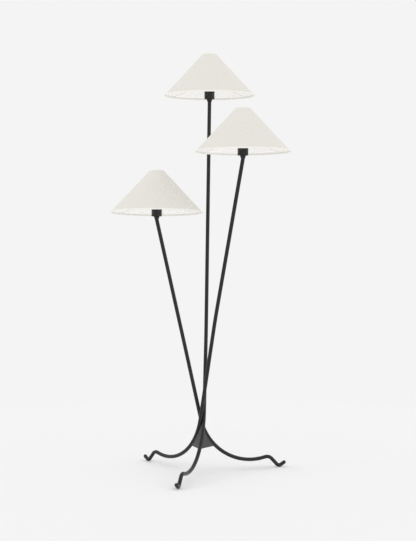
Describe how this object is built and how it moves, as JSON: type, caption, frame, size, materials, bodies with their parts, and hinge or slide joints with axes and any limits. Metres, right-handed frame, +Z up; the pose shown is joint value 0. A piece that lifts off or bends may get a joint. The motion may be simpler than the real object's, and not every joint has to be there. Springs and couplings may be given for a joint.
{
  "type": "tree floor lamp",
  "caption": "Free-standing tree floor lamp: bent tube stems cross at a skirted hub, run down into arched legs with turned-up toes, and carry wide conical linen shades.",
  "frame": {"origin": "on the floor, under the hub's upright axis, which the tubes pass at equal distances", "axes": "+Z up, +Y away from the picture's viewer, +X to the viewer's right"},
  "size_m": [0.7555, 0.7095, 1.7996],
  "materials": {
    "frame_enamel": "black semi-matt powder coat",
    "skirt_enamel": "black semi-matt powder coat on sheet",
    "cup_enamel": "black satin enamel",
    "zinc_steel": "bright zinc plate",
    "black_steel": "blackened",
    "rubber_black": "matt",
    "lead_insulation": "PVC, matt",
    "terminal_nylon": "natural nylon, matt",
    "plug_plastic": "moulded, matt",
    "holder_plastic": "moulded thermoset, satin",
    "thread_brass": "plain",
    "knob_plastic": "moulded, glossy",
    "shade_fabric": "off-white linen weave on a stiff liner",
    "hem_fabric": "off-white linen tape",
    "shade_wire": "white powder coat",
    "ring_plastic": "moulded thermoset, satin",
    "cap_aluminium": "plain",
    "opal_glass": "opal"
  },
  "bodies": {
    "frame": {"front_left_skirt_panel": "skirt_enamel", "front_right_skirt_panel": "skirt_enamel", "rear_skirt_panel": "skirt_enamel", "hub_cover": "skirt_enamel", "cover_screws": "black_steel", "cord_gland": "rubber_black", "terminal_block": "terminal_nylon", "toe_plugs": "plug_plastic", "tall_stem_tube": "frame_enamel", "tall_lead": "lead_insulation", "tall_neck": "cup_enamel", "tall_cup": "cup_enamel", "tall_nipple": "zinc_steel", "tall_lock_nut": "zinc_steel", "tall_lampholder": "holder_plastic", "tall_screw_shell": "thread_brass", "tall_centre_contact": "thread_brass", "right_stem_tube": "frame_enamel", "right_lead": "lead_insulation", "right_neck": "cup_enamel", "right_cup": "cup_enamel", "right_nipple": "zinc_steel", "right_lock_nut": "zinc_steel", "right_lampholder": "holder_plastic", "right_screw_shell": "thread_brass", "right_centre_contact": "thread_brass", "left_stem_tube": "frame_enamel", "left_lead": "lead_insulation", "left_neck": "cup_enamel", "left_cup": "cup_enamel", "left_nipple": "zinc_steel", "left_lock_nut": "zinc_steel", "left_lampholder": "holder_plastic", "left_screw_shell": "thread_brass", "left_centre_contact": "thread_brass"},
    "tall_switch": {"tall_switch_shaft": "zinc_steel", "tall_switch_knob": "knob_plastic"},
    "tall_shade": {"tall_shade_linen": "shade_fabric", "tall_shade_hems": "hem_fabric", "tall_shade_frame": "shade_wire"},
    "tall_shade_ring": {"tall_clamp_ring": "ring_plastic"},
    "tall_bulb": {"tall_bulb_cap": "cap_aluminium", "tall_bulb_glass": "opal_glass"},
    "right_switch": {"right_switch_shaft": "zinc_steel", "right_switch_knob": "knob_plastic"},
    "right_shade": {"right_shade_linen": "shade_fabric", "right_shade_hems": "hem_fabric", "right_shade_frame": "shade_wire"},
    "right_shade_ring": {"right_clamp_ring": "ring_plastic"},
    "right_bulb": {"right_bulb_cap": "cap_aluminium", "right_bulb_glass": "opal_glass"},
    "left_switch": {"left_switch_shaft": "zinc_steel", "left_switch_knob": "knob_plastic"},
    "left_shade": {"left_shade_linen": "shade_fabric", "left_shade_hems": "hem_fabric", "left_shade_frame": "shade_wire"},
    "left_shade_ring": {"left_clamp_ring": "ring_plastic"},
    "left_bulb": {"left_bulb_cap": "cap_aluminium", "left_bulb_glass": "opal_glass"}
  },
  "joints": [
    {"name": "tall_switch_turn", "type": "hinge", "parent": "frame", "child": "tall_switch", "pos_m": [0.03384, 0.09857, 1.6494], "axis": [0, 0.9995, 0.0332], "continuous": true},
    {"name": "tall_shade_turn", "type": "hinge", "parent": "frame", "child": "tall_shade", "pos_m": [0.03384, 0.07898, 1.66676], "axis": [0, -0.0332, 0.9995], "continuous": true},
    {"name": "tall_ring_turn", "type": "hinge", "parent": "frame", "child": "tall_shade_ring", "pos_m": [0.03384, 0.07893, 1.66826], "axis": [0, -0.0332, 0.9995], "range_deg": [0, 720]},
    {"name": "tall_bulb_turn", "type": "hinge", "parent": "frame", "child": "tall_bulb", "pos_m": [0.03384, 0.0794, 1.65396], "axis": [0, -0.0332, 0.9995], "range_deg": [0, 1080]},
    {"name": "right_switch_turn", "type": "hinge", "parent": "frame", "child": "right_switch", "pos_m": [0.16851, -0.19709, 1.38193], "axis": [0, 1, 0.007], "continuous": true},
    {"name": "right_shade_turn", "type": "hinge", "parent": "frame", "child": "right_shade", "pos_m": [0.16851, -0.21621, 1.3998], "axis": [0, -0.007, 1], "continuous": true},
    {"name": "right_ring_turn", "type": "hinge", "parent": "frame", "child": "right_shade_ring", "pos_m": [0.16851, -0.21622, 1.4013], "axis": [0, -0.007, 1], "range_deg": [0, 720]},
    {"name": "right_bulb_turn", "type": "hinge", "parent": "frame", "child": "right_bulb", "pos_m": [0.16851, -0.21612, 1.387], "axis": [0, -0.007, 1], "range_deg": [0, 1080]},
    {"name": "left_switch_turn", "type": "hinge", "parent": "frame", "child": "left_switch", "pos_m": [-0.18977, -0.03391, 1.13755], "axis": [0, 0.9991, -0.0419], "continuous": true},
    {"name": "left_shade_turn", "type": "hinge", "parent": "frame", "child": "left_shade", "pos_m": [-0.18977, -0.05214, 1.15633], "axis": [0, 0.0419, 0.9991], "continuous": true},
    {"name": "left_ring_turn", "type": "hinge", "parent": "frame", "child": "left_shade_ring", "pos_m": [-0.18977, -0.05208, 1.15783], "axis": [0, 0.0419, 0.9991], "range_deg": [0, 720]},
    {"name": "left_bulb_turn", "type": "hinge", "parent": "frame", "child": "left_bulb", "pos_m": [-0.18977, -0.05267, 1.14355], "axis": [0, 0.0419, 0.9991], "range_deg": [0, 1080]}
  ]
}
